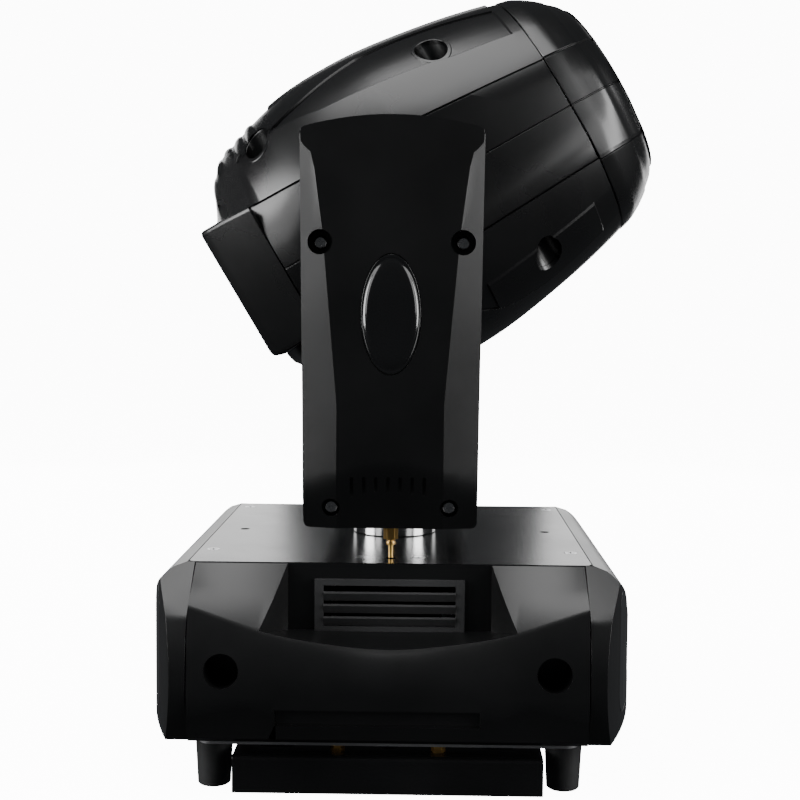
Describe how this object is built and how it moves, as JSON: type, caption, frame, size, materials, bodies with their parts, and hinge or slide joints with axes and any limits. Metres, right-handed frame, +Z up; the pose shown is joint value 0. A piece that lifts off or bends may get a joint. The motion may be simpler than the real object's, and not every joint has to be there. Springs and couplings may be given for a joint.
{
  "type": "moving head light",
  "caption": "Moving head stage light: yoke pans on a vented base and an LED barrel head tilts between its arms.",
  "frame": {"origin": "on the floor under the middle of the base", "axes": "+Z up, along the pan axis; +Y along the tilt axis away from the front badge; +X the way the head leans"},
  "size_m": [0.3041, 0.296, 0.4581],
  "materials": {
    "black_steel": "semi-gloss black powder coat",
    "black_plastic": "fine moulded texture, satin black",
    "head_plastic": "smooth satin black",
    "gloss_black": "gloss black",
    "vent_plastic": "rough black",
    "screw_steel": "bright zinc",
    "black_screw": "black oxide",
    "polished_steel": "polished",
    "brass": "machined brass",
    "bare_steel": "zinc-plated sheet",
    "aluminium": "machined",
    "motor_black": "black motor body",
    "foot_rubber": "black rubber",
    "belt_rubber": "toothed belt rubber",
    "button_rubber": "dark grey soft-touch",
    "display_glass": "dark display window",
    "lens_glass": "clear optical glass",
    "board_green": "solder mask",
    "fan_plastic": "fan moulding",
    "led_yellow": "phosphor dome on a board",
    "wheel_metal": "blackened disc",
    "colour_filter": "disc with filters"
  },
  "bodies": {
    "base": {"base_chassis": "bare_steel", "base_top_plate": "black_steel", "bumper_covers": "black_plastic", "vent_panels": "vent_plastic", "end_caps": "black_plastic", "display_panel": "gloss_black", "display_window": "display_glass", "connector_panel": "gloss_black", "power_inlet": "fan_plastic", "data_sockets": "fan_plastic", "base_screws": "screw_steel", "rubber_feet": "foot_rubber", "mounting_brackets": "black_steel", "bracket_spacers": "brass", "power_supply": "bare_steel", "control_board": "board_green", "base_fan_frame": "fan_plastic", "pan_motor": "motor_black", "pan_belt": "belt_rubber", "pan_bearing": "bare_steel"},
    "menu_button_1": {"menu_button_1": "button_rubber"},
    "menu_button_2": {"menu_button_2": "button_rubber"},
    "menu_button_3": {"menu_button_3": "button_rubber"},
    "menu_button_4": {"menu_button_4": "button_rubber"},
    "base_fan": {"base_fan_rotor": "fan_plastic"},
    "pan_drive": {"pan_motor_pulley": "aluminium"},
    "yoke": {"pan_shaft": "polished_steel", "pan_pulley": "aluminium", "yoke_frame": "bare_steel", "front_arm_cover": "black_plastic", "rear_arm_cover": "black_plastic", "front_arm_inner_cover": "black_plastic", "rear_arm_inner_cover": "black_plastic", "crossbar_cover": "black_plastic", "arm_screws": "screw_steel", "arm_badges": "gloss_black", "tilt_motor": "motor_black", "tilt_belt": "belt_rubber", "tilt_bearings": "bare_steel", "pan_lock_body": "brass"},
    "tilt_drive": {"tilt_motor_pulley": "aluminium"},
    "pan_lock": {"pan_lock_pin": "brass"},
    "head": {"head_top_cover": "head_plastic", "head_bottom_cover": "head_plastic", "head_cheeks": "head_plastic", "head_rear_cover": "head_plastic", "front_bezel": "head_plastic", "head_cover_screws": "black_screw", "head_frame": "bare_steel", "tilt_axles": "bare_steel", "tilt_pulley": "aluminium", "led_module": "led_yellow", "heat_sink": "aluminium", "head_fan_frame": "fan_plastic", "condenser_lens": "lens_glass", "wheel_motors": "motor_black", "front_lens": "lens_glass"},
    "head_fan": {"head_fan_rotor": "fan_plastic"},
    "gobo_wheel": {"gobo_wheel": "wheel_metal"},
    "colour_wheel": {"colour_wheel": "colour_filter"}
  },
  "joints": [
    {"name": "pan", "type": "hinge", "parent": "base", "child": "yoke", "pos_m": [0, 0, 0.125], "axis": [0, 0, 1], "range_deg": [-270, 270]},
    {"name": "tilt", "type": "hinge", "parent": "yoke", "child": "head", "pos_m": [0, 0, 0.324], "axis": [0, 1, 0], "range_deg": [-174.2, 55.8]},
    {"name": "pan_motor_turn", "type": "hinge", "parent": "base", "child": "pan_drive", "pos_m": [-0.06, 0, 0.098], "axis": [0, 0, 1], "range_deg": [-1080, 1080]},
    {"name": "tilt_motor_turn", "type": "hinge", "parent": "yoke", "child": "tilt_drive", "pos_m": [-0.016, -0.1075, 0.168], "axis": [0, 1, 0], "range_deg": [-696.8, 223.2]},
    {"name": "pan_lock_slide", "type": "slide", "parent": "yoke", "child": "pan_lock", "axis": [0, 0, -1], "range_m": [0, 0.007]},
    {"name": "base_fan_spin", "type": "hinge", "parent": "base", "child": "base_fan", "pos_m": [0, 0.092, 0.094], "axis": [0, 1, 0], "continuous": true},
    {"name": "head_fan_spin", "type": "hinge", "parent": "head", "child": "head_fan", "pos_m": [-0.08804, 0, 0.27152], "axis": [0.859, 0, 0.512], "continuous": true},
    {"name": "gobo_wheel_turn", "type": "hinge", "parent": "head", "child": "gobo_wheel", "pos_m": [0.01999, 0, 0.29633], "axis": [0.859, 0, 0.512], "continuous": true},
    {"name": "colour_wheel_turn", "type": "hinge", "parent": "head", "child": "colour_wheel", "pos_m": [-0.01054, 0, 0.3573], "axis": [0.859, 0, 0.512], "continuous": true},
    {"name": "menu_button_1_press", "type": "slide", "parent": "base", "child": "menu_button_1", "axis": [-1, 0, 0], "range_m": [0, 0.0015], "stiffness_N_per_m": 400},
    {"name": "menu_button_2_press", "type": "slide", "parent": "base", "child": "menu_button_2", "axis": [-1, 0, 0], "range_m": [0, 0.0015], "stiffness_N_per_m": 400},
    {"name": "menu_button_3_press", "type": "slide", "parent": "base", "child": "menu_button_3", "axis": [-1, 0, 0], "range_m": [0, 0.0015], "stiffness_N_per_m": 400},
    {"name": "menu_button_4_press", "type": "slide", "parent": "base", "child": "menu_button_4", "axis": [-1, 0, 0], "range_m": [0, 0.0015], "stiffness_N_per_m": 400}
  ],
  "couplings": [
    {"joint": "pan_motor_turn", "follows": "pan", "ratio": 4},
    {"joint": "tilt_motor_turn", "follows": "tilt", "ratio": 4}
  ]
}
